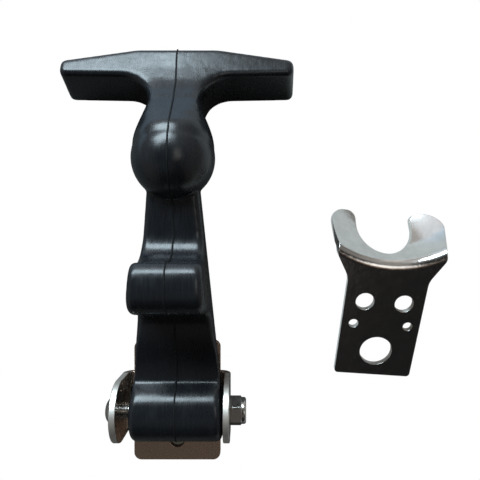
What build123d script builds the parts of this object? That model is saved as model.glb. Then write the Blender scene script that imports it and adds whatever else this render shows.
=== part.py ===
from build123d import *
import os
from math import asin, atan2, cos, degrees, hypot, radians, sin, sqrt, tan

# Rubber T-handle draw latch with its keeper.
# A one-piece rubber strap (T handle, bulb, strap, lug and barrel) turns on a screw between the ears
# of a folded bracket.  The bulb is pulled over the forked keeper, which is screwed to the other panel.
#
# Frame: millimetres, +Z up off the mounting face, +Y along the strap, X along the pivot.
# Origin: centre of the bracket's mounting face, under the pivot.

# ---- Driving dimensions ---------------------------------------------------------------------------

# Folded bracket
BRACKET_SHEET = 2.5
BASE_WIDTH = 35.4
BASE_LENGTH = 49.0
BASE_CORNER_R = 3.0
BASE_HOLE_D = 6.3
BASE_HOLE_SPACING = 32.4
CLEVIS_GAP = 39.0  # between the inner faces of the ears
CLEVIS_BEND_R = 1.8  # inside radius of the two folds
EAR_WIDTH = 23.6
EAR_EDGE_R = 0.4

# Pivot screw, its lock nut and the nut's insert
PIVOT_HEIGHT = 14.5
SCREW_D = 6.0
SCREW_HEAD_D = 10.5
SCREW_HEAD_H = 3.5
SCREW_HEAD_TOP_D = 5.6
SOCKET_AF = 4.0
SOCKET_DEPTH = 2.0
SCREW_END_INSET = 0.6  # how far the screw's end stays inside the nut
EAR_HOLE_CLEARANCE = 0.2  # on the radius, round the screw
NUT_AF = 10.0
NUT_HEIGHT = 6.2
NUT_HEX_HEIGHT = 4.4
NUT_COLLAR_D = 9.9
NUT_CHAMFER = 0.35
NUT_TURN = 30.0  # degrees that the hexagon is turned on the screw
INSERT_D = 8.0
INSERT_HEIGHT = 1.7
INSERT_LIP = 0.3  # collar metal rolled over the insert
THREAD_CLEARANCE = 0.05  # between the screw and the nut or its insert

# Rubber strap, measured along the strap (s) and forward of its middle plane (n)
STRAP_SIDE_PLAY = 0.3  # barrel to the nut-side ear
BARREL_D = 22.4
BARREL_LENGTH = 34.6
BORE_CLEARANCE = 0.08  # on the radius, round the screw
STRAP_THICKNESS = 10.0
TAPER_START = 2.0  # where the strap starts to narrow from the barrel's length
STRAP_WIDTH_AT_BULB = 19.0  # where the strap meets the bulb
TAPER_BLEND_R = 40.0
STRAP_EDGE_R = 2.5
BARREL_ROOT_R = 4.0
LUG_DISTANCE = 52.3  # pivot to the middle of the lug
LUG_THICKNESS = 17.4
LUG_HEIGHT = 27.2  # top of the lug forward of the strap's middle plane
LUG_ROOT_R = 9.0
BULB_DISTANCE = 96.0
BULB_D = 30.2

# Neck and T handle, measured along the raked stem (t) from the bulb's centre
HANDLE_RAKE = 27.0  # degrees that the stem leans back from the strap
HANDLE_SETBACK = 4.2  # middle plane of the handle behind the bulb's centre
HANDLE_THICKNESS = 18.1
HANDLE_REACH = 45.0  # bulb centre to the top of the T
ARM_HEIGHT = 12.4  # at the neck
ARM_END_DROP = 5.2  # how much lower the top edge is at the ends
ARM_END_RISE = 0.8  # how much higher the underside is at the ends
ARM_SPAN = 91.0
ARM_END_DRAFT = 4.0  # degrees, ends narrower towards the front
ARM_FLAT = 31.0  # straight middle of the top edge
ARM_ROOT_R = 11.0
ARM_CROWN_R = 12.0
ARM_END_CORNER_R = 2.5
HANDLE_EDGE_R = 2.0
NECK_WIDTH = 20.0
NECK_CORNER_R = 3.0
NECK_FOOT_SHARE = 0.93  # of the bulb's radius, where the neck starts inside the bulb
NECK_SHOULDER = 5.0  # height above the bulb's centre at which the neck has left it
NECK_SHOULDER_STEP = 0.4  # how far the neck stands outside the bulb there
NECK_EASE_TOP = 28.0  # where the front has eased into the T's face
NECK_EASE_POWER = 1.7
NECK_WAIST_SHARE = 0.4  # of the way from the shoulder to the ease's top, where it is drawn once more
NECK_WAIST_CORNER = 6.0
NECK_OVERLAP = 0.6  # how far the handle reaches down into the neck

# Keeper, measured up its plate (v) and forward of its panel face (w)
KEEPER_SHEET = 2.0
KEEPER_WIDTH = 30.9
KEEPER_CORNER_R = 1.5
KEEPER_SHOULDER = 43.0  # end of the plate's straight sides
KEEPER_FORK_WIDTH = 39.4  # at the fold
KEEPER_FORK_START = 50.5  # where the flare reaches the fork's width
KEEPER_FLARE_R = 8.0
KEEPER_BEND_AT = 49.7  # sharp corner of the fold on the middle line
KEEPER_BEND_R = 2.0  # inside radius of the fold
KEEPER_FOLD = 67.0  # degrees from the plate to the fork, halfway along the fork
KEEPER_FORK_LENGTH = 24.0  # along the horns, from the fold to the tips
KEEPER_CUP_R = 38.0  # hollow of the fork across its width
KEEPER_CURL_R = 60.0  # hollow of the fork along its length
KEEPER_SPLAY = 10.0  # degrees that the outer edges of the horns spread towards the tips
KEEPER_SLOT_WIDTH = 22.2
KEEPER_SLOT_SLANT = 24.0  # degrees between the slot's walls and the plate's normal
KEEPER_SLOT_BOTTOM = 49.4  # from the plate's lower edge, seen along the slot's walls
KEEPER_TIP_SPAN = 45.0  # over the horns' tips in that view
KEEPER_TIP_LEAN = 4.0  # degrees that the horns' outer edges lean outwards in that view
KEEPER_TIP_OUTER_R = 6.0
KEEPER_SIDE_R = 3.0  # where the flare turns into the fork's outer edge
KEEPER_TIP_INNER_R = 3.6
KEEPER_REACH = 66.9  # tips of the horns in that view
KEEPER_MAIN_HOLE_D = 7.2
KEEPER_MAIN_HOLE_SPACING = 15.2
KEEPER_MAIN_HOLE_AT = 33.2
KEEPER_PIN_HOLE_D = 3.7
KEEPER_PIN_HOLE_SPACING = 21.4
KEEPER_PIN_HOLE_AT = 23.3
KEEPER_LARGE_HOLE_D = 12.8
KEEPER_LARGE_HOLE_AT = 11.3
KEEPER_PLACE = (80.0, 10.4)  # middle of the plate's lower edge, where the keeper lies
KEEPER_YAW = -3.7

# ---- Places that follow from them -----------------------------------------------------------------

EAR_OUTER = CLEVIS_GAP / 2 + BRACKET_SHEET
BARREL_END = CLEVIS_GAP / 2 - STRAP_SIDE_PLAY
STRAP_X = BARREL_END - BARREL_LENGTH / 2
BARREL_R = BARREL_D / 2
BULB_R = BULB_D / 2
HALF_STRAP = STRAP_THICKNESS / 2
ARM_UNDER = HANDLE_REACH - ARM_HEIGHT
NECK_TOP = ARM_UNDER - ARM_ROOT_R  # where the neck starts to widen into the arms
HANDLE_BACK = -HANDLE_THICKNESS / 2 - HANDLE_SETBACK


def rest_pitch():
    """Degrees that the strap rises from the pivot when the back of the T lies on the mounting plane."""
    rake = radians(HANDLE_RAKE)
    t = HANDLE_REACH - HANDLE_EDGE_R
    m = HANDLE_BACK + HANDLE_EDGE_R
    s = BULB_DISTANCE + t * cos(rake) + m * sin(rake)
    n = -t * sin(rake) + m * cos(rake)
    return degrees(asin((HANDLE_EDGE_R - PIVOT_HEIGHT) / hypot(s, n)) - atan2(n, s))


# ---- Bracket --------------------------------------------------------------------------------------


def ear_outline():
    """Side view of the ears: straight sides up to the pivot, round above it."""
    straight = Rectangle(EAR_WIDTH, PIVOT_HEIGHT, align=(Align.CENTER, Align.MIN))
    return straight + Pos(0, PIVOT_HEIGHT) * Circle(EAR_WIDTH / 2)


def folded_ears():
    """The two ears and the floor between them, bent from one sheet."""
    height = PIVOT_HEIGHT + EAR_WIDTH
    outside = Rectangle(2 * EAR_OUTER, height, align=(Align.CENTER, Align.MIN))
    outside = fillet(outside.vertices().group_by(Axis.Y)[0], CLEVIS_BEND_R + BRACKET_SHEET)
    inside = Pos(0, BRACKET_SHEET) * Rectangle(CLEVIS_GAP, height, align=(Align.CENTER, Align.MIN))
    inside = fillet(inside.vertices().group_by(Axis.Y)[0], CLEVIS_BEND_R)
    channel = extrude(Plane.XZ * (outside - inside), EAR_WIDTH, both=True)
    ears = channel & extrude(Plane.YZ * ear_outline(), EAR_OUTER, both=True)
    rims = ears.edges().filter_by(GeomType.CIRCLE).filter_by(lambda e: abs(e.radius - EAR_WIDTH / 2) < 0.01)
    return fillet(rims, EAR_EDGE_R)


def base_bracket():
    plate = extrude(RectangleRounded(BASE_WIDTH, BASE_LENGTH, BASE_CORNER_R), BRACKET_SHEET)
    bracket = plate + folded_ears()
    for side in (-1, 1):
        bracket -= Pos(0, side * BASE_HOLE_SPACING / 2) * Cylinder(BASE_HOLE_D / 2, 4 * BRACKET_SHEET)
    pivot_hole = Cylinder(SCREW_D / 2 + EAR_HOLE_CLEARANCE, 4 * EAR_OUTER)
    return bracket - Pos(0, 0, PIVOT_HEIGHT) * Rot(0, 90, 0) * pivot_hole


# ---- Screw and nut, drawn along +Z from the ear's outer face --------------------------------------


def pivot_screw():
    """Button head against the outside of the head-side ear, shank through both ears into the nut."""
    dome = Polyline((0, 0), (SCREW_HEAD_D / 2, 0))
    rim = Line((SCREW_HEAD_D / 2, 0), (SCREW_HEAD_D / 2, -0.15 * SCREW_HEAD_H))
    crown = ThreePointArc(
        (SCREW_HEAD_D / 2, -0.15 * SCREW_HEAD_H),
        (0.44 * SCREW_HEAD_D, -0.62 * SCREW_HEAD_H),
        (SCREW_HEAD_TOP_D / 2, -SCREW_HEAD_H),
    )
    top = Polyline((SCREW_HEAD_TOP_D / 2, -SCREW_HEAD_H), (0, -SCREW_HEAD_H), (0, 0))
    head = revolve(Plane.XZ * make_face([dome, rim, crown, top]), Axis.Z)
    socket = extrude(RegularPolygon(SOCKET_AF / 2, 6, major_radius=False), SOCKET_DEPTH)
    head -= Pos(0, 0, -SCREW_HEAD_H) * socket
    length = 2 * EAR_OUTER + NUT_HEIGHT - SCREW_END_INSET
    shank = Cylinder(SCREW_D / 2, length, align=(Align.CENTER, Align.CENTER, Align.MIN))
    shank = chamfer(shank.edges().sort_by(Axis.Z)[-1], SCREW_D / 12)
    return Pos(-EAR_OUTER, 0, PIVOT_HEIGHT) * Rot(0, 90, 0) * (head + shank)


def nut_blank():
    """Hexagon with chamfered corners and the round collar that holds the insert."""
    hexagon = extrude(RegularPolygon(NUT_AF / 2, 6, major_radius=False), NUT_HEX_HEIGHT)
    corner_r = NUT_AF / sqrt(3)
    turned = Cylinder(corner_r, NUT_HEX_HEIGHT, align=(Align.CENTER, Align.CENTER, Align.MIN))
    turned = chamfer(turned.edges().filter_by(GeomType.CIRCLE), NUT_CHAMFER, 2 * NUT_CHAMFER)
    collar_h = NUT_HEIGHT - NUT_HEX_HEIGHT
    collar = Cylinder(NUT_COLLAR_D / 2, collar_h, align=(Align.CENTER, Align.CENTER, Align.MIN))
    collar = fillet(collar.edges().sort_by(Axis.Z)[-1], collar_h / 2)
    return (hexagon & turned) + Pos(0, 0, NUT_HEX_HEIGHT) * collar


def insert_floor():
    """Height in the nut at which the insert starts."""
    return NUT_HEIGHT - INSERT_LIP - INSERT_HEIGHT


def place_on_nut_side(piece):
    return Pos(EAR_OUTER, 0, PIVOT_HEIGHT) * Rot(0, 90, 0) * Rot(0, 0, NUT_TURN) * piece


def lock_nut():
    bore = Cylinder(SCREW_D / 2 + THREAD_CLEARANCE, 4 * NUT_HEIGHT)
    seat = Cylinder(INSERT_D / 2, INSERT_HEIGHT, align=(Align.CENTER, Align.CENTER, Align.MIN))
    mouth = Cylinder(SCREW_D / 2 + INSERT_LIP, NUT_HEIGHT, align=(Align.CENTER, Align.CENTER, Align.MIN))
    nut = nut_blank() - bore - Pos(0, 0, insert_floor()) * seat - Pos(0, 0, insert_floor()) * mouth
    return place_on_nut_side(nut)


def nut_insert():
    ring = Cylinder(INSERT_D / 2, INSERT_HEIGHT, align=(Align.CENTER, Align.CENTER, Align.MIN))
    ring -= Cylinder(SCREW_D / 2 + THREAD_CLEARANCE, 4 * INSERT_HEIGHT)
    return place_on_nut_side(Pos(0, 0, insert_floor()) * ring)


# ---- Rubber strap ---------------------------------------------------------------------------------
# Drawn with the pivot at the origin, the strap along +Y and its front face towards +Z.


def strap_side_view():
    """Strap, barrel and lug seen from the side: Y along the strap, Z forward."""
    strap = Rectangle(BULB_DISTANCE, STRAP_THICKNESS, align=(Align.MIN, Align.CENTER))
    lug_top = Pos(LUG_DISTANCE, LUG_HEIGHT - LUG_THICKNESS / 2) * Circle(LUG_THICKNESS / 2)
    lug_stem_height = LUG_HEIGHT - LUG_THICKNESS / 2
    lug_stem = Pos(LUG_DISTANCE, 0) * Rectangle(
        LUG_THICKNESS, lug_stem_height, align=(Align.CENTER, Align.MIN)
    )
    outline = strap + lug_stem + lug_top
    roots = [
        v
        for v in outline.vertices()
        if abs(v.Y - HALF_STRAP) < 0.01 and abs(abs(v.X - LUG_DISTANCE) - LUG_THICKNESS / 2) < 0.01
    ]
    outline = fillet(roots, LUG_ROOT_R)
    outline = outline + Circle(BARREL_R)
    meet = sqrt(BARREL_R**2 - HALF_STRAP**2)
    corners = [v for v in outline.vertices() if abs(v.X - meet) < 0.01 and abs(abs(v.Y) - HALF_STRAP) < 0.01]
    return fillet(corners, BARREL_ROOT_R)


def strap_front_view():
    """Strap and barrel seen from the front: X across, Y along the strap."""
    half_barrel = BARREL_LENGTH / 2
    half_top = STRAP_WIDTH_AT_BULB / 2
    meets_bulb = BULB_DISTANCE - sqrt(BULB_R**2 - half_top**2)
    narrowing = (half_barrel - half_top) / (meets_bulb - TAPER_START)
    half_end = half_top - narrowing * (BULB_DISTANCE - meets_bulb)
    right = [(half_barrel, -BARREL_D), (half_barrel, TAPER_START), (half_end, BULB_DISTANCE)]
    left = [(-x, y) for x, y in reversed(right)]
    outline = make_face(Polyline(*right, *left, close=True))
    shoulders = [v for v in outline.vertices() if abs(v.Y - TAPER_START) < 0.01]
    return fillet(shoulders, TAPER_BLEND_R)


def outer_edges(faces):
    """Edges of these faces that no two of them share."""
    return [e for f in faces for e in f.edges() if sum(e.is_same(g) for h in faces for g in h.edges()) == 1]


def strap_bar():
    side = extrude(Plane.YZ * strap_side_view(), BARREL_LENGTH, both=True)
    front = extrude(strap_front_view(), LUG_HEIGHT + BARREL_D, both=True)
    bar = side & front
    flanks = [f for f in bar.faces() if abs(f.normal_at().X) > 0.9]
    rims = [e for e in outer_edges(flanks) if e.center().Y < BULB_DISTANCE - 0.01]
    bore = Cylinder(SCREW_D / 2 + BORE_CLEARANCE, 2 * BARREL_LENGTH)
    return fillet(rims, STRAP_EDGE_R) - Rot(0, 90, 0) * bore


def bulb():
    return Pos(0, BULB_DISTANCE, 0) * Sphere(BULB_R)


def handle_outline():
    """The T seen from its front: X across, Y up the stem."""
    half_span = ARM_SPAN / 2
    half_flat = ARM_FLAT / 2
    half_neck = NECK_WIDTH / 2
    right = [
        (half_neck, NECK_TOP - NECK_OVERLAP),
        (half_neck, ARM_UNDER),
        (half_span, ARM_UNDER + ARM_END_RISE),
        (half_span, HANDLE_REACH - ARM_END_DROP),
        (half_flat, HANDLE_REACH),
    ]
    left = [(-x, y) for x, y in reversed(right)]
    outline = make_face(Polyline(*right, *left, close=True))
    roots = [v for v in outline.vertices() if abs(abs(v.X) - half_neck) < 0.01 and v.Y > ARM_UNDER - 0.01]
    outline = fillet(roots, ARM_ROOT_R)
    crown = [v for v in outline.vertices() if v.Y > HANDLE_REACH - 0.01]
    return fillet(crown, ARM_CROWN_R)


def end_trims():
    """Blocks that lean the ends of the T in towards the front."""
    block = Pos(0, HANDLE_REACH, 0) * Box(ARM_SPAN, 2 * HANDLE_REACH, 4 * HANDLE_THICKNESS)
    trims = []
    for side in (-1, 1):
        hinge = Pos(side * ARM_SPAN / 2, 0, HANDLE_BACK) * Rot(0, -side * ARM_END_DRAFT, 0)
        trims.append(hinge * Pos(side * ARM_SPAN / 2, 0, 0) * block)
    return trims


def handle():
    """T bar with the upper part of the neck, drawn up +Y from the bulb's centre, front towards +Z."""
    bar = Pos(0, 0, HANDLE_BACK) * extrude(handle_outline(), HANDLE_THICKNESS)
    for trim in end_trims():
        bar -= trim
    upright = [e for e in bar.edges() if e.bounding_box().size.Z > HANDLE_THICKNESS / 2]
    ends = [e for e in upright if abs(e.center().X) > ARM_SPAN / 2 - HANDLE_THICKNESS / 4]
    bar = fillet(ends, ARM_END_CORNER_R)
    foot = bar.bounding_box().min.Y
    flat = [e for e in bar.edges() if e.bounding_box().size.Z < HANDLE_THICKNESS / 2]
    rims = [e for e in flat if e.center().Y > foot + 0.01]
    return fillet(rims, HANDLE_EDGE_R)


def neck_section(t, half_width, front, back, corner):
    """Cross-section of the neck at this height up the stem: front and back are measured from its axis."""
    middle = (front - back) / 2
    return Plane.XZ.offset(-t) * Pos(0, middle) * RectangleRounded(2 * half_width, front + back, corner)


def round_section(t, radius):
    """Nearly round cross-section, with the four short flats that the upper ones have."""
    return neck_section(t, radius, radius, radius, radius - 2 * NECK_SHOULDER_STEP)


def neck():
    """Pear-shaped run from inside the bulb up into the handle, its front easing into the T's face."""
    front = HANDLE_THICKNESS / 2 - HANDLE_SETBACK
    back = HANDLE_THICKNESS / 2 + HANDLE_SETBACK
    half = NECK_WIDTH / 2
    shoulder_r = sqrt(BULB_R**2 - NECK_SHOULDER**2) + NECK_SHOULDER_STEP
    to_go = 1 - NECK_WAIST_SHARE
    waist_at = NECK_EASE_TOP - to_go * (NECK_EASE_TOP - NECK_SHOULDER)
    waist_half = half + (shoulder_r - half) * to_go**2
    waist_front = front + (shoulder_r - front) * to_go**NECK_EASE_POWER
    waist_back = back + (shoulder_r - back) * to_go**NECK_EASE_POWER
    sections = [
        neck_section(NECK_EASE_TOP, half, front, back, NECK_CORNER_R),
        neck_section(waist_at, waist_half, waist_front, waist_back, NECK_WAIST_CORNER),
        round_section(NECK_SHOULDER, shoulder_r),
        round_section(0, NECK_FOOT_SHARE * BULB_R),
    ]
    return loft(sections)


def rubber_t_handle():
    rake = Pos(0, BULB_DISTANCE, 0) * Rot(-HANDLE_RAKE, 0, 0)
    body = strap_bar() + bulb() + rake * neck() + rake * handle()
    return Pos(STRAP_X, 0, PIVOT_HEIGHT) * Rot(rest_pitch(), 0, 0) * body


# ---- Keeper ---------------------------------------------------------------------------------------
# Drawn with the panel face up: X across, Y up the plate, the fork bent down towards -Z.


def keeper_plate():
    """Flat part of the keeper with its flare, long and wide enough to be trimmed to the fork."""
    half_plate = KEEPER_WIDTH / 2
    half_fork = KEEPER_FORK_WIDTH / 2
    flare = half_fork - half_plate
    right = [
        (half_plate, 0),
        (half_plate, KEEPER_SHOULDER),
        (half_fork + flare, 2 * KEEPER_FORK_START - KEEPER_SHOULDER),
        (half_fork + flare, KEEPER_REACH),
    ]
    left = [(-x, y) for x, y in reversed(right)]
    outline = make_face(Polyline(*right, *left, close=True))
    shoulders = [v for v in outline.vertices() if abs(v.Y - KEEPER_SHOULDER) < 0.01]
    outline = fillet(shoulders, KEEPER_FLARE_R)
    feet = [v for v in outline.vertices() if v.Y < 0.01]
    outline = fillet(feet, KEEPER_CORNER_R)
    return Pos(0, 0, -KEEPER_SHEET) * extrude(outline, KEEPER_SHEET)


def curl_centre():
    """Centre of the fork's lengthwise hollow, in the keeper's middle plane (v, w)."""
    half_length = KEEPER_FORK_LENGTH / 2
    steepest = radians(KEEPER_FOLD) + half_length / KEEPER_CURL_R
    return KEEPER_BEND_AT + KEEPER_CURL_R * sin(steepest), KEEPER_CURL_R * cos(steepest)


def cup_axis():
    """Axis that the fork is hollow about, from its hollow's deepest line."""
    fold = radians(KEEPER_FOLD)
    v, w = curl_centre()
    to_axis = KEEPER_CURL_R - KEEPER_CUP_R
    return Axis((0, v - to_axis * sin(fold), w - to_axis * cos(fold)), (0, cos(fold), -sin(fold)))


def turned_about_cup(radius):
    """Barrel-shaped body of that curl radius, turned about the cup's axis."""
    disc = Plane.YZ * Pos(*curl_centre()) * Circle(radius)
    axis = cup_axis()
    beyond = Plane(axis.position, x_dir=(1, 0, 0), z_dir=(0, sin(radians(KEEPER_FOLD)), cos(radians(KEEPER_FOLD))))
    half_space = beyond * Box(4, 8 * radius, 4 * radius, align=(Align.CENTER, Align.CENTER, Align.MIN))
    return revolve(disc - half_space, axis, 360)


def fork_outline():
    """The fork from its foot to its round tips, with the slot, seen along the slot's walls."""
    half_slot = KEEPER_SLOT_WIDTH / 2
    half_tips = KEEPER_TIP_SPAN / 2
    foot = KEEPER_SLOT_BOTTOM - half_slot
    half_foot = half_tips - (KEEPER_REACH - foot) * tan(radians(KEEPER_TIP_LEAN))
    right = [(half_foot, foot), (half_tips, KEEPER_REACH)]
    left = [(-x, y) for x, y in reversed(right)]
    blank = make_face(Polyline(*right, *left, close=True))
    slot_centre = KEEPER_SLOT_BOTTOM + half_slot
    slot = Pos(0, slot_centre) * Circle(half_slot)
    slot += Pos(0, slot_centre) * Rectangle(KEEPER_SLOT_WIDTH, KEEPER_REACH, align=(Align.CENTER, Align.MIN))
    outline = blank - slot
    outer = [v for v in outline.vertices() if v.Y > KEEPER_REACH - 0.01 and abs(v.X) > half_tips - 0.01]
    outline = fillet(outer, KEEPER_TIP_OUTER_R)
    inner = [v for v in outline.vertices() if v.Y > KEEPER_REACH - 0.01 and abs(v.X) < half_slot + 0.01]
    return fillet(inner, KEEPER_TIP_INNER_R)


def side_trim(side):
    """Block outside one horn, its face square to the hollow sheet and splayed towards the tip."""
    size = 4 * KEEPER_FORK_WIDTH
    axis = cup_axis()
    reach = asin(KEEPER_FORK_WIDTH / 2 / KEEPER_CUP_R)
    fold = radians(KEEPER_FOLD)
    outward = Vector(side * cos(reach), sin(reach) * sin(fold), sin(reach) * cos(fold))
    radial = Vector(side * sin(reach), -cos(reach) * sin(fold), -cos(reach) * cos(fold))
    crest = axis.position + radial * KEEPER_CUP_R - axis.direction * KEEPER_FORK_LENGTH / 2
    splay = radians(KEEPER_SPLAY)
    normal = outward * cos(splay) - axis.direction * sin(splay)
    return Plane(crest, x_dir=radial, z_dir=normal) * Box(
        size, size, size, align=(Align.CENTER, Align.CENTER, Align.MIN)
    )


def fork_block():
    """Outside of the fork below the plate's face, still solid towards the cup's axis."""
    drop = 2 * KEEPER_FORK_LENGTH
    prism = extrude(Rot(-KEEPER_SLOT_SLANT, 0, 0) * fork_outline(), drop, both=True)
    below = Pos(0, 0, -drop) * Box(4 * KEEPER_FORK_WIDTH, 8 * KEEPER_REACH, 2 * drop)
    return turned_about_cup(KEEPER_CURL_R + KEEPER_SHEET) & prism & below


def keeper_holes():
    rows = [
        (KEEPER_MAIN_HOLE_D, KEEPER_MAIN_HOLE_SPACING, KEEPER_MAIN_HOLE_AT),
        (KEEPER_PIN_HOLE_D, KEEPER_PIN_HOLE_SPACING, KEEPER_PIN_HOLE_AT),
        (KEEPER_LARGE_HOLE_D, 0, KEEPER_LARGE_HOLE_AT),
    ]
    drills = []
    for diameter, spacing, at in rows:
        for x in {-spacing / 2, spacing / 2}:
            drills.append(Pos(x, at, 0) * Cylinder(diameter / 2, 4 * KEEPER_SHEET))
    return drills


def keeper_blank():
    """Plate and hollow fork with their fold, before the holes are punched."""
    body = keeper_plate() + fork_block()
    for side in (-1, 1):
        body -= side_trim(side)
    body -= turned_about_cup(KEEPER_CURL_R)
    folds = [e for e in body.edges() if e.geom_type != GeomType.LINE and e.length > KEEPER_WIDTH]
    crest = [e for e in folds if e.bounding_box().min.Z > -0.01]
    body = fillet(crest, KEEPER_BEND_R + KEEPER_SHEET)
    folds = [e for e in body.edges() if e.geom_type != GeomType.LINE and e.length > KEEPER_WIDTH]
    throat = [e for e in folds if e.bounding_box().size.Z < 0.01 and abs(e.center().Z + KEEPER_SHEET) < 0.01]
    body = fillet(throat, KEEPER_BEND_R)
    thick = [e for e in body.edges().filter_by(GeomType.LINE) if e.bounding_box().size.Z > KEEPER_SHEET / 2]
    flares = [e for e in thick if abs(e.center().Z + KEEPER_SHEET / 2) < 0.2 and e.center().Y > KEEPER_FORK_START]
    return fillet(flares, KEEPER_SIDE_R)


def keeper_body():
    body = keeper_blank()
    for drill in keeper_holes():
        body -= drill
    return body


def keeper_tilt(body):
    """Tilt at which the tips of the horns and the back of the plate's lower edge reach one level."""
    horns = body & Pos(0, KEEPER_REACH, 0) * Box(4 * KEEPER_REACH, KEEPER_REACH, 4 * KEEPER_REACH)
    low, high = 0.0, 60.0
    while high - low > 0.001:
        tilt = (low + high) / 2
        lowest_horn = (Rot(tilt, 0, 0) * horns).bounding_box().min.Z
        if lowest_horn > -KEEPER_SHEET * cos(radians(tilt)):
            high = tilt
        else:
            low = tilt
    return high


def keeper():
    body = keeper_body()
    tilt = keeper_tilt(body)
    x, y = KEEPER_PLACE
    lift = KEEPER_SHEET * cos(radians(tilt))
    return Pos(x, y, lift) * Rot(0, 0, KEEPER_YAW) * Rot(tilt, 0, 0) * body


# ---- Output ---------------------------------------------------------------------------------------

NODES = {
    "base_bracket": base_bracket,
    "pivot_screw": pivot_screw,
    "lock_nut": lock_nut,
    "nut_insert": nut_insert,
    "rubber_t_handle": rubber_t_handle,
    "keeper": keeper,
}


def main():
    os.makedirs("parts", exist_ok=True)
    for name, make in NODES.items():
        export_step(make(), f"parts/{name}.step")


main()
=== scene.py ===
"""Looks of a rubber T-handle draw latch and its keeper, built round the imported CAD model.

Lengths are in metres. Pieces made here: the rubber with its joins softened, its parting flash, and the
screw with its thread. The other nodes keep their CAD shapes and get materials.
"""

import math

import bmesh
import bpy
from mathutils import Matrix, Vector, noise


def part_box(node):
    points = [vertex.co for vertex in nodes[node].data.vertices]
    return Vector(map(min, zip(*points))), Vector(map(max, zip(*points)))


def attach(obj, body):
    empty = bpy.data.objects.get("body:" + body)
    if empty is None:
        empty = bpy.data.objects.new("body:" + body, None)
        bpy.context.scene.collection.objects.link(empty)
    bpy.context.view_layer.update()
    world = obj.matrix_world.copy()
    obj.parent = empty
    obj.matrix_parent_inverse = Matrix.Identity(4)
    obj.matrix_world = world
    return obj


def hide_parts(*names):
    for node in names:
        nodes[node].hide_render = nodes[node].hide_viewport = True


MM = 0.001

# Camera: straight above the latch, close by, so the perspective is strong
CAMERA_PLACE = Vector((27.0, 65.8, 200.0)) * MM
CAMERA_LENS_MM = 36.0
CAMERA_SENSOR_MM = 36.0
CAMERA_CLIP_START = 5 * MM
CAMERA_SHIFT_X = -0.00625  # the point straight below the camera lies just right of the middle

# The strap's own frame, as in the CAD source: s along the strap from the pivot, n forward of its middle
PIVOT_Z = 14.5 * MM
STRAP_PITCH = math.radians(7.469)
STRAP_FRONT = 5.0 * MM
BARREL_R = 11.2 * MM
LUG_S = 52.3 * MM
LUG_N = 18.5 * MM
LUG_R = 8.7 * MM
BULB_PLACE = Vector((1.9, 95.19, 26.98)) * MM
STEM_PITCH = math.radians(19.53)  # the stem from the bulb to the T points down this much

# Moulded rubber
RUBBER_VOXEL = 0.55 * MM
SMOOTH_FACTOR = 0.5
RUBBER_SMOOTH_STEPS = 5  # more would close the bore onto the screw
NECK_SMOOTH_STEPS = 60
SHOULDER_TURN = 38  # degrees from straight forward, by which a squared shoulder has its full size

# Barrel: its front and its root slide along the strap
BARREL_SWELL = 1.0 * MM
BARREL_SWELL_END = (15 * MM, 32 * MM)  # along the strap, where the slide fades out
BARREL_SWELL_FRONT = 3 * MM  # forward of the strap's middle, from where the slide has its full size

# Root: the strap's front is let in beside the barrel
ROOT_DEPTH = 3.0 * MM
ROOT_R = 3.0 * MM  # hollow between the barrel and the let-in front
ROOT_END = 35.0 * MM  # where the strap's front is back at its full height
ROOT_START_ANGLE = math.radians(50)  # from straight forward, where the cut starts on the barrel
ROOT_ARC_STEPS = 8
ROOT_RISE_STEPS = 12
CUTTER_OVER_STRAP = 2 * MM
CUTTER_OVER_BARREL = 3 * MM
CUTTER_HALF_WIDTH = 30 * MM

# Lug: its shoulder on the side towards the T slides along the strap
LUG_SWELL = 1.9 * MM
LUG_SHELL = (0.8, 1.25)  # shares of the lug's radius between which the surface is moved
LUG_SWELL_END = (60, 88)  # degrees from straight forward, where the slide fades out

# Neck: its front is filled out, and the joins there are smoothed
NECK_FILL = (  # along the stem from the bulb's middle, and by which the neck's front is then thicker
    (4 * MM, 1.0),
    (10.5 * MM, 1.06),
    (15 * MM, 1.26),
    (18.7 * MM, 1.52),
    (21.3 * MM, 1.60),
    (26 * MM, 1.24),
    (30 * MM, 1.07),
    (36 * MM, 1.0),
)
NECK_FILL_HALF = (8 * MM, 22 * MM)  # from the middle, where the fill starts to fade and where it ends
NECK_EASE_START = (4 * MM, 10 * MM)  # along the stem, where the smoothing sets in
NECK_EASE_END = (30 * MM, 38 * MM)
NECK_EASE_HALF = (9 * MM, 20 * MM)

# Parting flash
SEAM_X = 1.9 * MM
SEAM_STEP = 0.5 * MM
SEAM_ROUNDING = 6  # times that the line's small steps are averaged out
SEAM_HALF_WIDTH = 0.36 * MM
SEAM_CREST = 0.35  # share of the half width that the top takes
SEAM_HEIGHT = 0.22 * MM
SEAM_UNEVEN = 0.7  # share of the height that comes and goes
SEAM_UNEVEN_SIZE = 4 * MM
SEAM_UNEVEN_START = Vector((7, 0, 0))  # in the noise, away from the wander's
SEAM_WANDER = (  # how far it strays sideways, and over what length
    (0.3 * MM, 11 * MM),
    (0.12 * MM, 2.5 * MM),
)
SEAM_NUB = 0.45 * MM  # how much prouder it is on the T's far edge
SEAM_NUB_FACING = (0.4, 0.9)  # how far a face looks along Y where the nub starts and where it is full
SEAM_ROOT = 0.3 * MM  # how deep the flash is rooted in the rubber

# Pivot screw
SCREW_R = 3.0 * MM
THREAD_PITCH = 1.0 * MM
THREAD_DEPTH = 0.61 * MM
THREAD_CREST = 0.18  # share of the pitch's half that the crest takes
THREAD_FLANK = 0.62
THREAD_SIDES = 40
THREAD_ROWS = 8  # rows of points to a pitch
THREAD_SHARP = math.radians(35)
HEAD_OVERLAP = 0.01 * MM  # how far the CAD head's part reaches over the thread's start

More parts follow.
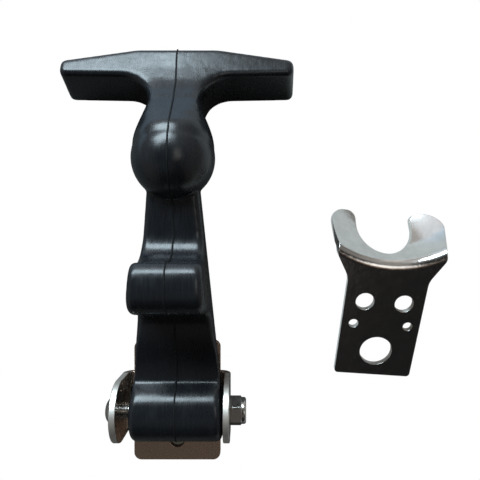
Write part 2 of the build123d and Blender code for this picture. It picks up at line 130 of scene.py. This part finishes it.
# Rubber and plastic colours
RUBBER_BLACK = (0.0105, 0.012, 0.0145)
RUBBER_BLOOM = (0.018, 0.021, 0.026)
HANDLE_HALF_TURN = 0.06  # slope by which the T's right half is shaded as if turned from the left one
HANDLE_START = (100 * MM, 112 * MM)  # along Y, where that slope sets in
FLASH_BLACK = (0.006, 0.007, 0.008)
INSERT_DARK = (0.72, 0.72, 0.68)
INSERT_PALE = (0.82, 0.82, 0.79)

# Steel colours
STEEL_STAIN = 0.86  # how dark the cloudy patches are, as a share of the tint
BRACKET_TINT = (0.66, 0.64, 0.61)
RIM_TINT = (0.95, 0.90, 0.84)  # the ears' cut rims
RIM_ROUGHNESS = 0.5
RIM_FACING = (0.5, 0.3)  # how far a face looks sideways where the rims' colour starts and where it is full
RIM_START = (4 * MM, 5 * MM)  # above the floor
# painted reflection: the base plate is coloured browner than the steel
PLATE_PAINTED_REFLECTION = (0.70, 0.53, 0.42)  # the bracket's base plate
PLATE_REFLECTION_TOP = (3 * MM, 2.5 * MM)
KEEPER_TINT = (0.76, 0.735, 0.71)
FASTENER_TINT = (0.68, 0.66, 0.63)

# Floor
FLOOR_HALF = 3.0
FLOOR_DROP = 0.02 * MM
WHITE = (1.0, 1.0, 1.0)
BRACKET_HOLE = (1.9 * MM, -16.5 * MM, 0)  # the floor is in deep shade under it
# painted shade: a dark disc on the floor, seen through the bracket's hole
HOLE_SHADE = (0.045, 0.042, 0.034)
HOLE_SHADE_R = (4.5 * MM, 5.5 * MM)
PAPER_ROUGHNESS = 0.9
# Painted light and shade on the paper as the parts see it: a painted shadow by the latch, painted light
# beyond the T and beside the keeper
PAPER_PAINTED_SHADOW = (0.15, 0.145, 0.14)
PAPER_PAINTED_LIGHT_BEYOND = (0.56, 0.64, 0.74)
PAPER_PAINTED_LIGHT_BEYOND_Y = (150 * MM, 200 * MM)
PAPER_PAINTED_LIGHT_BESIDE = (0.74, 0.72, 0.69)
PAPER_PAINTED_LIGHT_BESIDE_X = (45 * MM, 62 * MM)

# Window light
LIGHT_TARGET = (0.02, 0.06, 0.02)
WINDOW_PLACE = (-0.36, 0.96, 0.74)
WINDOW_SIZE = (0.85, 0.5)
WINDOW_POWER = 19.0
WINDOW_TINT = (0.73, 0.90, 1.0)

# Room: colours, and the parts of the direction vector over which one turns into the next
ROOM_BEHIND = (0.016, 0.015, 0.015)
ROOM_AHEAD_LEFT = (0.86, 0.90, 0.95)
ROOM_AHEAD = (0.42, 0.40, 0.38)
ROOM_AHEAD_X = (-0.22, -0.08)
ROOM_AHEAD_Y = (-0.55, 0.25)
ROOM_SIDES = (0.20, 0.19, 0.18)
ROOM_SIDES_X = (0.35, 0.8)
CEILING_BEHIND = (0.10, 0.094, 0.088)
CEILING_TOP = (0.014, 0.014, 0.013)
CEILING_TOP_Y = (-0.36, -0.18)
CEILING_AHEAD = (0.16, 0.16, 0.155)
CEILING_AHEAD_Y = (0.30, 0.52)
CEILING_Z = (0.62, 0.80)
ROOM_RIGHT = (  # on the keeper's side: degrees from straight up towards the T, and the colour there
    (-20, (0.012, 0.012, 0.012)),
    (-14, (0.30, 0.205, 0.145)),
    (-9, (0.30, 0.205, 0.145)),
    (-5, (1.4, 1.37, 1.32)),
    (12, (1.4, 1.37, 1.32)),
    (20, (0.30, 0.29, 0.275)),
    (50, (0.30, 0.29, 0.275)),
    (82, (0.66, 0.645, 0.62)),
)
ROOM_RIGHT_START = (0.12, 0.20)
ROOM_RIGHT_END = (0.50, 0.42)

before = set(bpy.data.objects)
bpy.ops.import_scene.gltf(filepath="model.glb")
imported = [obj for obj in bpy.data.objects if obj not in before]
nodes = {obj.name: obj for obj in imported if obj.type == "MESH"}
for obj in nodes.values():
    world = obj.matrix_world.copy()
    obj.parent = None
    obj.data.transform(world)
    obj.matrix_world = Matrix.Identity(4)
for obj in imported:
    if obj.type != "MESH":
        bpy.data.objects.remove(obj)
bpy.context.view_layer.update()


# ---- Small helpers for geometry ---------------------------------------------------------------------


def new_object(name, mesh):
    piece = bpy.data.objects.new(name, mesh)
    bpy.context.scene.collection.objects.link(piece)
    return piece


def mesh_from(name, points, faces, smooth=True):
    mesh = bpy.data.meshes.new(name)
    mesh.from_pydata([tuple(p) for p in points], [], faces)
    mesh.validate()
    for polygon in mesh.polygons:
        polygon.use_smooth = smooth
    return new_object(name, mesh)


def apply_modifiers(piece):
    graph = bpy.context.evaluated_depsgraph_get()
    mesh = bpy.data.meshes.new_from_object(piece.evaluated_get(graph))
    piece.modifiers.clear()
    piece.data = mesh


# ---- Small helpers for nodes ------------------------------------------------------------------------


class Nodes:
    """A node tree under construction: nodes are made and wired by short calls."""

    def __init__(self, tree):
        self.tree = tree

    def node(self, kind, **settings):
        made = self.tree.nodes.new(kind)
        for key, value in settings.items():
            setattr(made, key, value)
        return made

    def wire(self, source, target):
        self.tree.links.new(source, target)

    def axes(self, vector):
        """The vector's X, Y and Z."""
        split = self.node("ShaderNodeSeparateXYZ")
        self.wire(vector, split.inputs["Vector"])
        return split.outputs

    def ramp(self, source, low, high, out_low=0.0, out_high=1.0, curve="LINEAR"):
        """Spreads low..high of a value over out_low..out_high, held at the ends."""
        span = self.node("ShaderNodeMapRange", clamp=True, interpolation_type=curve)
        for key, value in (
            ("From Min", low),
            ("From Max", high),
            ("To Min", out_low),
            ("To Max", out_high),
        ):
            span.inputs[key].default_value = value
        self.wire(source, span.inputs["Value"])
        return span.outputs["Result"]

    def maths(self, operation, first, second=0.0):
        made = self.node("ShaderNodeMath", operation=operation)
        for socket, value in zip(made.inputs, (first, second)):
            if isinstance(value, (int, float)):
                socket.default_value = value
            else:
                self.wire(value, socket)
        return made.outputs["Value"]

    def mix(self, factor, first, second):
        """Blends two colours."""
        made = self.node("ShaderNodeMix", data_type="RGBA")
        self.wire(factor, made.inputs["Factor"])
        sockets = [s for s in made.inputs if s.type == "RGBA"]
        for socket, value in zip(sockets, (first, second)):
            if isinstance(value, tuple):
                socket.default_value = (*value, 1.0)
            else:
                self.wire(value, socket)
        return [s for s in made.outputs if s.type == "RGBA"][0]

    def white_to_camera(self, other, white, output):
        """Shows the camera the white shader, and every other ray the other one."""
        ray = self.node("ShaderNodeLightPath")
        choose = self.node("ShaderNodeMixShader")
        self.wire(ray.outputs["Is Camera Ray"], choose.inputs["Fac"])
        self.wire(other, choose.inputs[1])
        self.wire(white, choose.inputs[2])
        self.wire(choose.outputs["Shader"], output.inputs["Surface"])


class Paint(Nodes):
    """A material under construction."""

    def __init__(self, name):
        self.material = bpy.data.materials.new(name)
        self.material.use_nodes = True
        super().__init__(self.material.node_tree)
        self.shader = self.tree.nodes["Principled BSDF"]
        coordinates = self.node("ShaderNodeTexCoord")
        self.place = coordinates.outputs["Object"]
        self.facing = coordinates.outputs["Normal"]

    def scaled(self, scale):
        mapping = self.node("ShaderNodeMapping")
        mapping.inputs["Scale"].default_value = scale
        self.wire(self.place, mapping.inputs["Vector"])
        return mapping.outputs["Vector"]

    def noise(self, size, stretch=(1, 1, 1), detail=3.0, rough=0.55, warp=0.0):
        """Noise whose features are about this many metres across, longer where stretch is above 1."""
        texture = self.node("ShaderNodeTexNoise")
        texture.inputs["Scale"].default_value = 1.0
        texture.inputs["Detail"].default_value = detail
        texture.inputs["Roughness"].default_value = rough
        texture.inputs["Distortion"].default_value = warp
        self.wire(self.scaled([1 / (size * s) for s in stretch]), texture.inputs["Vector"])
        return texture.outputs["Fac"]

    def bump(self, height, depth, under=None):
        """Bump of this many metres; under is a bump that this one lies on."""
        made = self.node("ShaderNodeBump")
        made.inputs["Strength"].default_value = 1.0
        made.inputs["Distance"].default_value = depth
        self.wire(height, made.inputs["Height"])
        if under is not None:
            self.wire(under, made.inputs["Normal"])
        return made.outputs["Normal"]

    def finish(self, color, roughness, normal=None, fixed=None):
        """Wires or sets the shader's main inputs; fixed are more of its inputs, by name."""
        for key, value in (("Base Color", color), ("Roughness", roughness), ("Normal", normal)):
            if value is None:
                continue
            if isinstance(value, tuple):
                self.shader.inputs[key].default_value = (*value, 1.0)
            elif isinstance(value, float):
                self.shader.inputs[key].default_value = value
            else:
                self.wire(value, self.shader.inputs[key])
        for key, value in (fixed or {}).items():
            self.shader.inputs[key].default_value = value
        return self.material


# ---- Materials --------------------------------------------------------------------------------------


def rubber_material():
    """Black moulded rubber: fine grain, streaks along the mould, and a faint dusty bloom."""
    paint = Paint("black_rubber")
    streaks = paint.noise(0.5 * MM, stretch=(1, 14, 4), detail=4.0)
    patches = paint.noise(9 * MM, stretch=(1, 1.4, 1.4), detail=4.0)
    grain = paint.noise(0.35 * MM, detail=2.0)
    bloom = paint.maths("MULTIPLY", paint.ramp(streaks, 0.45, 0.75), paint.ramp(patches, 0.4, 0.65))
    color = paint.mix(bloom, RUBBER_BLACK, RUBBER_BLOOM)
    streaky = paint.ramp(streaks, 0.3, 0.7, out_low=0.23, out_high=0.30)
    patchy = paint.ramp(patches, 0.35, 0.65, out_low=-0.03, out_high=0.05)
    roughness = paint.maths("ADD", streaky, patchy)
    axes = paint.axes(paint.place)
    right = paint.maths("MAXIMUM", paint.maths("SUBTRACT", axes["X"], SEAM_X), 0.0)
    on_handle = paint.ramp(axes["Y"], *HANDLE_START)
    turned = paint.bump(paint.maths("MULTIPLY", right, on_handle), -HANDLE_HALF_TURN)
    waves = paint.bump(paint.noise(3.5 * MM, detail=1.0), 0.07 * MM, under=turned)
    lines = paint.bump(streaks, 0.012 * MM, under=waves)
    normal = paint.bump(grain, 0.005 * MM, under=lines)
    return paint.finish(color, roughness, normal, {"Specular IOR Level": 0.5})


def flash_material():
    """The torn edge of the flash: dull black."""
    return Paint("rubber_flash").finish(FLASH_BLACK, 0.75, fixed={"Specular IOR Level": 0.3})


def steel_material(name, tint, rough, uneven_depth, grain_depth, edge_r, bracket=False):
    """Tumbled stainless steel: satin, with soft edges, small random scuffs and a slightly uneven surface.

    The bracket's has paler, duller rims above the plate, and a base plate painted browner as a painted
    reflection.
    """
    paint = Paint(name)
    grain = paint.noise(0.25 * MM, detail=4.0)
    clouds = paint.noise(4 * MM, detail=3.0)
    scuffs = paint.noise(0.8 * MM, stretch=(1, 9, 1), detail=3.0, warp=1.5)
    darker = tuple(STEEL_STAIN * c for c in tint)
    color = paint.mix(paint.ramp(clouds, 0.35, 0.7), tint, darker)
    cloudy = paint.ramp(clouds, 0.35, 0.65, *rough)
    scuffed = paint.ramp(scuffs, 0.55, 0.75, out_low=0.0, out_high=0.08)
    roughness = paint.maths("ADD", cloudy, scuffed)
    if bracket:
        height = paint.axes(paint.place)["Z"]
        sideways = paint.maths("ABSOLUTE", paint.axes(paint.facing)["X"])
        rim = paint.maths("MULTIPLY", paint.ramp(sideways, *RIM_FACING), paint.ramp(height, *RIM_START))
        color = paint.mix(rim, color, RIM_TINT)
        # painted reflection: below the plate's top the colour turns brown
        color = paint.mix(paint.ramp(height, *PLATE_REFLECTION_TOP), color, PLATE_PAINTED_REFLECTION)
        roughness = paint.maths("MAXIMUM", roughness, paint.maths("MULTIPLY", rim, RIM_ROUGHNESS))
    soft = paint.node("ShaderNodeBevel", samples=6)
    soft.inputs["Radius"].default_value = edge_r
    uneven = paint.bump(clouds, uneven_depth, under=soft.outputs["Normal"])
    normal = paint.bump(grain, grain_depth, under=uneven)
    return paint.finish(color, roughness, normal, {"Metallic": 1.0})


def insert_material():
    """Off-white nylon of the locking ring."""
    paint = Paint("nut_insert")
    haze = paint.noise(1.2 * MM, detail=3.0)
    color = paint.mix(haze, INSERT_DARK, INSERT_PALE)
    roughness = paint.ramp(haze, 0.3, 0.7, out_low=0.4, out_high=0.55)
    return paint.finish(color, roughness, paint.bump(haze, 0.02 * MM))


# ---- Rubber -----------------------------------------------------------------------------------------


def smoothstep(value, low, high):
    """0 below low, 1 above high, and a soft rise between them."""
    share = min(max((value - low) / (high - low), 0.0), 1.0)
    return share * share * (3 - 2 * share)


def to_strap(place):
    """Place in the strap's own frame: across, along and forward."""
    y = place.y
    z = place.z - PIVOT_Z
    cos, sin = math.cos(STRAP_PITCH), math.sin(STRAP_PITCH)
    return place.x, y * cos + z * sin, z * cos - y * sin


def from_strap(x, s, n):
    """Place in the part's frame, from the strap's own."""
    cos, sin = math.cos(STRAP_PITCH), math.sin(STRAP_PITCH)
    return Vector((x, s * cos - n * sin, PIVOT_Z + s * sin + n * cos))


def root_cutter():
    """What is cut from the strap's front so that the barrel stands clear of it."""
    low_n = STRAP_FRONT - ROOT_DEPTH
    centre_n = low_n + ROOT_R
    centre_s = math.sqrt((BARREL_R + ROOT_R) ** 2 - centre_n**2)
    meet = math.atan2(centre_s, centre_n)
    line = []
    for k in range(ROOT_ARC_STEPS + 1):
        angle = ROOT_START_ANGLE + (meet - ROOT_START_ANGLE) * k / ROOT_ARC_STEPS
        line.append((BARREL_R * math.sin(angle), BARREL_R * math.cos(angle)))
    for k in range(1, ROOT_ARC_STEPS + 1):
        angle = meet * (1 - k / ROOT_ARC_STEPS)
        line.append((centre_s - ROOT_R * math.sin(angle), centre_n - ROOT_R * math.cos(angle)))
    for k in range(1, ROOT_RISE_STEPS + 1):
        share = k / ROOT_RISE_STEPS
        rise = ROOT_DEPTH * smoothstep(share, 0.0, 1.0)
        line.append((centre_s + share * (ROOT_END - centre_s), low_n + rise))
    line.append((ROOT_END, STRAP_FRONT + CUTTER_OVER_STRAP))
    line.append((line[0][0] + CUTTER_OVER_BARREL, line[0][1] + CUTTER_OVER_BARREL))
    count = len(line)
    points = [from_strap(side * CUTTER_HALF_WIDTH, s, n) for side in (-1, 1) for s, n in line]
    faces = [tuple(range(count)), tuple(range(2 * count - 1, count - 1, -1))]
    faces += [(k, count + k, count + (k + 1) % count, (k + 1) % count) for k in range(count)]
    cutter = mesh_from("root_cutter", points, faces, smooth=False)
    work = bmesh.new()
    work.from_mesh(cutter.data)
    bmesh.ops.recalc_face_normals(work, faces=work.faces[:])
    work.to_mesh(cutter.data)
    work.free()
    return cutter


def slid_barrel(s, n):
    """Slides the barrel's front and its root along the strap, which squares the barrel's shoulder."""
    if s <= 0 or n <= 0:
        return s
    angle = math.degrees(math.atan2(s, n))
    share = smoothstep(angle, 0, SHOULDER_TURN) * (1 - smoothstep(s, *BARREL_SWELL_END))
    return s + BARREL_SWELL * share * smoothstep(n, 0.0, BARREL_SWELL_FRONT)


def squared_lug(s, n):
    """Moves the lug's shoulder on the side that faces the T along the strap."""
    out_s = s - LUG_S
    out_n = n - LUG_N
    inner, outer = LUG_SHELL
    if out_n < 0 or out_s < 0 or not inner * LUG_R < math.hypot(out_s, out_n) < outer * LUG_R:
        return s
    angle = math.degrees(math.atan2(out_s, out_n))
    return s + LUG_SWELL * smoothstep(angle, 0, SHOULDER_TURN) * (1 - smoothstep(angle, *LUG_SWELL_END))


def filled(place):
    """Thickens the neck's front so that it runs from the T's face to the bulb without a step."""
    cos, sin = math.cos(STEM_PITCH), math.sin(STEM_PITCH)
    offset = place - BULB_PLACE
    along = offset.y * cos - offset.z * sin
    forward = offset.y * sin + offset.z * cos
    if forward <= 0 or not NECK_FILL[0][0] < along < NECK_FILL[-1][0]:
        return place
    for (start, low), (end, high) in zip(NECK_FILL, NECK_FILL[1:]):
        if along <= end:
            thicker = low + (high - low) * (along - start) / (end - start)
            break
    fade = 1 - smoothstep(abs(offset.x), *NECK_FILL_HALF)
    extra = forward * (thicker - 1) * fade
    return place + Vector((0, extra * sin, extra * cos))


def sculpt(body):
    """Small moves of the moulding's surface where the real one isn't round or straight."""
    for vertex in body.data.vertices:
        x, s, n = to_strap(vertex.co)
        s = squared_lug(slid_barrel(s, n), n)
        vertex.co = filled(from_strap(x, s, n))


def neck_weights(body):
    """Vertex group that is strongest where the neck runs into the T's face."""
    group = body.vertex_groups.new(name="neck")
    for vertex in body.data.vertices:
        offset = vertex.co - BULB_PLACE
        along = offset.y * math.cos(STEM_PITCH) - offset.z * math.sin(STEM_PITCH)
        weight = smoothstep(along, *NECK_EASE_START) * (1 - smoothstep(along, *NECK_EASE_END))
        weight *= 1 - smoothstep(abs(offset.x), *NECK_EASE_HALF)
        if weight > 0:
            group.add([vertex.index], weight, "REPLACE")


def rubber_body():
    """The moulding's solid, with its sharp joins softened as they leave the mould."""
    body = new_object("rubber_moulding", nodes["rubber_t_handle"].data.copy())
    cutter = root_cutter()
    cut = body.modifiers.new("cut", "BOOLEAN")
    cut.operation = "DIFFERENCE"
    cut.solver = "EXACT"
    cut.object = cutter
    remesh = body.modifiers.new("remesh", "REMESH")
    remesh.mode = "VOXEL"
    remesh.voxel_size = RUBBER_VOXEL
    apply_modifiers(body)
    bpy.data.objects.remove(cutter)
    sculpt(body)
    neck_weights(body)
    ease = body.modifiers.new("ease", "SMOOTH")
    ease.factor = SMOOTH_FACTOR
    ease.iterations = NECK_SMOOTH_STEPS
    ease.vertex_group = "neck"
    soften = body.modifiers.new("soften", "SMOOTH")
    soften.factor = SMOOTH_FACTOR
    soften.iterations = RUBBER_SMOOTH_STEPS
    apply_modifiers(body)
    body.vertex_groups.clear()
    for polygon in body.data.polygons:
        polygon.use_smooth = True
    return body


def middle_outline(body, x):
    """The closed line in which the plane at x cuts the outside of the rubber."""
    work = bmesh.new()
    work.from_mesh(body.data)
    cut = bmesh.ops.bisect_plane(
        work, geom=work.verts[:] + work.edges[:] + work.faces[:], plane_co=(x, 0, 0), plane_no=(1, 0, 0)
    )["geom_cut"]
    edges = [e for e in cut if isinstance(e, bmesh.types.BMEdge)]
    neighbours = {}
    for edge in edges:
        a, b = edge.verts
        neighbours.setdefault(a, []).append(b)
        neighbours.setdefault(b, []).append(a)
    start = max(neighbours, key=lambda v: v.co.y)
    line = [start]
    before = None
    here = start
    while True:
        onward = [v for v in neighbours[here] if v is not before]
        before, here = here, onward[0]
        if here is start or len(line) > len(neighbours):
            break
        line.append(here)
    points = [v.co.copy() for v in line]
    work.free()
    return points


def evenly_spaced(points, step):
    """A closed line's points, moved to even steps along it."""
    closed = points + [points[0]]
    lengths = [(b - a).length for a, b in zip(closed, closed[1:])]
    total = sum(lengths)
    count = round(total / step)
    spaced = []
    index = 0
    passed = 0.0
    for k in range(count):
        target = k * total / count
        while passed + lengths[index] < target:
            passed += lengths[index]
            index += 1
        spaced.append(closed[index].lerp(closed[index + 1], (target - passed) / lengths[index]))
    return spaced


def rounded_off(points, times):
    """A closed line with its small steps averaged out."""
    for _ in range(times):
        points = [
            (points[k - 1] + 2 * points[k] + points[(k + 1) % len(points)]) / 4 for k in range(len(points))
        ]
    return points


def parting_flash(body, x):
    """The thin line of flash that the two halves of the mould leave all round the rubber."""
    line = rounded_off(evenly_spaced(middle_outline(body, x), SEAM_STEP), SEAM_ROUNDING)
    side = Vector((SEAM_HALF_WIDTH, 0, 0))
    points = []
    faces = []
    count = len(line)
    for k, here in enumerate(line):
        along = (line[(k + 1) % count] - line[k - 1]).normalized()
        outward = Vector((0, along.z, -along.y))
        wander = sum(reach * noise.noise(here / length) for reach, length in SEAM_WANDER)
        unevenness = noise.noise(here / SEAM_UNEVEN_SIZE + SEAM_UNEVEN_START)
        height = SEAM_HEIGHT * (1.0 + SEAM_UNEVEN * unevenness)
        height += SEAM_NUB * smoothstep(outward.y, *SEAM_NUB_FACING)
        middle = here + Vector((wander, 0, 0))
        ring = [
            middle - side - SEAM_ROOT * outward,
            middle - side,
            middle - SEAM_CREST * side + height * outward,
            middle + SEAM_CREST * side + height * outward,
            middle + side,
            middle + side - SEAM_ROOT * outward,
        ]
        points += ring
        sides = len(ring)
        for j in range(sides):
            a = k * sides + j
            b = k * sides + (j + 1) % sides
            c = ((k + 1) % count) * sides + (j + 1) % sides
            d = ((k + 1) % count) * sides + j
            faces.append((a, b, c, d))
    return mesh_from("parting_flash", points, faces)


# ---- Screw ------------------------------------------------------------------------------------------


def thread_radius(turn, x, start, end):
    """Radius of the thread at this angle (in turns) and place, running out towards both ends."""
    phase = ((x - start) / THREAD_PITCH - turn) % 1.0
    from_crest = abs(phase - 0.5) * 2
    groove = min(max((from_crest - THREAD_CREST) / THREAD_FLANK, 0.0), 1.0)
    run_out = min((x - start) / THREAD_PITCH, (end - x) / THREAD_PITCH, 1.0)
    return SCREW_R - THREAD_DEPTH * groove * max(run_out, 0.0)


def threaded_screw():
    """The CAD screw's head with a shank that has its real helical thread."""
    low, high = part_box("pivot_screw")
    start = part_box("base_bracket")[0].x
    end = high.x
    centre_y = (low.y + high.y) / 2
    centre_z = (low.z + high.z) / 2
    work = bmesh.new()
    work.from_mesh(nodes["pivot_screw"].data)
    bmesh.ops.bisect_plane(
        work,
        geom=work.verts[:] + work.edges[:] + work.faces[:],
        plane_co=(start + HEAD_OVERLAP, 0, 0),
        plane_no=(1, 0, 0),
        clear_outer=True,
    )
    rows = round((end - start) / THREAD_PITCH * THREAD_ROWS)
    rings = []
    for row in range(rows + 1):
        x = start + (end - start) * row / rows
        ring = []
        for k in range(THREAD_SIDES):
            turn = k / THREAD_SIDES
            r = thread_radius(turn, x, start, end)
            angle = 2 * math.pi * turn
            ring.append(work.verts.new((x, centre_y + r * math.cos(angle), centre_z + r * math.sin(angle))))
        rings.append(ring)
    for before, after in zip(rings, rings[1:]):
        for k in range(THREAD_SIDES):
            j = (k + 1) % THREAD_SIDES
            work.faces.new((before[k], before[j], after[j], after[k]))
    work.faces.new(rings[-1])
    mesh = bpy.data.meshes.new("threaded_screw")
    work.to_mesh(mesh)
    work.free()
    screw = new_object("threaded_screw", mesh)
    mesh.shade_smooth()
    mesh.set_sharp_from_angle(angle=THREAD_SHARP)
    return screw


# ---- Stage ------------------------------------------------------------------------------------------


def add_camera():
    """Looks straight down, as a new camera does."""
    camera = bpy.data.cameras.new("camera")
    camera.lens = CAMERA_LENS_MM
    camera.sensor_width = CAMERA_SENSOR_MM
    camera.shift_x = CAMERA_SHIFT_X
    camera.clip_start = CAMERA_CLIP_START
    holder = bpy.data.objects.new("camera", camera)
    holder.location = CAMERA_PLACE
    bpy.context.scene.collection.objects.link(holder)
    bpy.context.scene.camera = holder


def aimed_light(name, place, size, power, tint):
    """A rectangular light that faces the middle of the latch."""
    lamp = bpy.data.lights.new(name, "AREA")
    lamp.shape = "RECTANGLE"
    lamp.size, lamp.size_y = size
    lamp.energy = power
    lamp.color = tint
    holder = bpy.data.objects.new(name, lamp)
    holder.location = place
    aim = Vector(LIGHT_TARGET) - Vector(place)
    holder.rotation_euler = aim.to_track_quat("-Z", "Y").to_euler()
    bpy.context.scene.collection.objects.link(holder)


def add_floor():
    """Plain paper: white to the camera, with a painted shade under the bracket's hole.

    To the parts it has a painted shadow by the latch, and painted light beyond the T and beside the keeper.
    """
    corners = [(-1, -1), (1, -1), (1, 1), (-1, 1)]
    points = [(FLOOR_HALF * x, FLOOR_HALF * y, 0) for x, y in corners]
    floor = mesh_from("floor", points, [(0, 1, 2, 3)], smooth=False)
    floor.location.z = -FLOOR_DROP
    paint = Paint("floor_white")
    from_hole = paint.node("ShaderNodeVectorMath", operation="DISTANCE")
    paint.wire(paint.place, from_hole.inputs[0])
    from_hole.inputs[1].default_value = BRACKET_HOLE
    # painted shade: the camera sees a dark disc round the bracket's hole
    outside_painted_shade = paint.ramp(from_hole.outputs["Value"], *HOLE_SHADE_R)
    glow = paint.node("ShaderNodeEmission")
    paint.wire(paint.mix(outside_painted_shade, HOLE_SHADE, WHITE), glow.inputs["Color"])
    axes = paint.axes(paint.place)
    # painted shadow near the latch, turning to painted light beyond the T and beside the keeper
    paper = paint.mix(paint.ramp(axes["Y"], *PAPER_PAINTED_LIGHT_BEYOND_Y), PAPER_PAINTED_SHADOW, PAPER_PAINTED_LIGHT_BEYOND)
    paper = paint.mix(paint.ramp(axes["X"], *PAPER_PAINTED_LIGHT_BESIDE_X), paper, PAPER_PAINTED_LIGHT_BESIDE)
    paint.finish(paper, PAPER_ROUGHNESS, fixed={"Specular IOR Level": 0.0})
    output = paint.tree.nodes["Material Output"]
    paint.white_to_camera(paint.shader.outputs["BSDF"], glow.outputs["Emission"], output)
    floor.data.materials.append(paint.material)


def add_surroundings():
    """The room that the parts reflect: dark behind, bright ahead, banded on the keeper's side.

    The camera sees it as plain white.
    """
    world = bpy.data.worlds.new("room")
    world.use_nodes = True
    world.node_tree.nodes.clear()
    room = Nodes(world.node_tree)

    def spread(source, low, high):
        return room.ramp(source, low, high, curve="SMOOTHSTEP")

    direction = room.axes(room.node("ShaderNodeTexCoord").outputs["Generated"])
    x, y, z = direction["X"], direction["Y"], direction["Z"]
    ahead = room.mix(spread(x, *ROOM_AHEAD_X), ROOM_AHEAD_LEFT, ROOM_AHEAD)
    walls = room.mix(spread(y, *ROOM_AHEAD_Y), ROOM_BEHIND, ahead)
    walls = room.mix(spread(room.maths("ABSOLUTE", x), *ROOM_SIDES_X), walls, ROOM_SIDES)
    ceiling = room.mix(spread(y, *CEILING_TOP_Y), CEILING_BEHIND, CEILING_TOP)
    ceiling = room.mix(spread(y, *CEILING_AHEAD_Y), ceiling, CEILING_AHEAD)
    color = room.mix(spread(z, *CEILING_Z), walls, ceiling)
    tilt = room.maths("ARCTAN2", y, z)
    beside = ROOM_RIGHT[0][1]
    for (start, _), (end, hue) in zip(ROOM_RIGHT, ROOM_RIGHT[1:]):
        beside = room.mix(spread(tilt, math.radians(start), math.radians(end)), beside, hue)
    within = room.maths("MULTIPLY", spread(x, *ROOM_RIGHT_START), spread(x, *ROOM_RIGHT_END))
    shown = room.node("ShaderNodeBackground")
    room.wire(room.mix(within, color, beside), shown.inputs["Color"])
    pale = room.node("ShaderNodeBackground")
    pale.inputs["Color"].default_value = (*WHITE, 1.0)
    output = room.node("ShaderNodeOutputWorld")
    room.white_to_camera(shown.outputs["Background"], pale.outputs["Background"], output)
    bpy.context.scene.world = world


# ---- Putting it together ----------------------------------------------------------------------------

add_camera()
add_floor()
add_surroundings()
aimed_light("window", WINDOW_PLACE, WINDOW_SIZE, WINDOW_POWER, WINDOW_TINT)

rubber_paint = rubber_material()
bracket_steel = steel_material(
    "bracket_steel",
    tint=BRACKET_TINT,
    rough=(0.22, 0.30),
    uneven_depth=0.03 * MM,
    grain_depth=0.0015 * MM,
    edge_r=0.3 * MM,
    bracket=True,
)
keeper_steel = steel_material(
    "keeper_steel",
    tint=KEEPER_TINT,
    rough=(0.13, 0.19),
    uneven_depth=0.08 * MM,
    grain_depth=0.001 * MM,
    edge_r=0.3 * MM,
)
fastener_steel = steel_material(
    "fastener_steel",
    tint=FASTENER_TINT,
    rough=(0.16, 0.24),
    uneven_depth=0.03 * MM,
    grain_depth=0.002 * MM,
    edge_r=0.25 * MM,
)
insert_paint = insert_material()

rubber = rubber_body()
rubber.data.materials.clear()
rubber.data.materials.append(rubber_paint)
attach(rubber, "strap")
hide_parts("rubber_t_handle")
flash = parting_flash(rubber, SEAM_X)
flash.data.materials.append(flash_material())
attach(flash, "strap")

screw = threaded_screw()
screw.data.materials.clear()
screw.data.materials.append(fastener_steel)
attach(screw, "base")
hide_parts("pivot_screw")

for name, paint in (
    ("base_bracket", bracket_steel),
    ("keeper", keeper_steel),
    ("lock_nut", fastener_steel),
    ("nut_insert", insert_paint),
):
    nodes[name].data.materials.clear()
    nodes[name].data.materials.append(paint)

bpy.context.scene.view_settings.view_transform = "Standard"
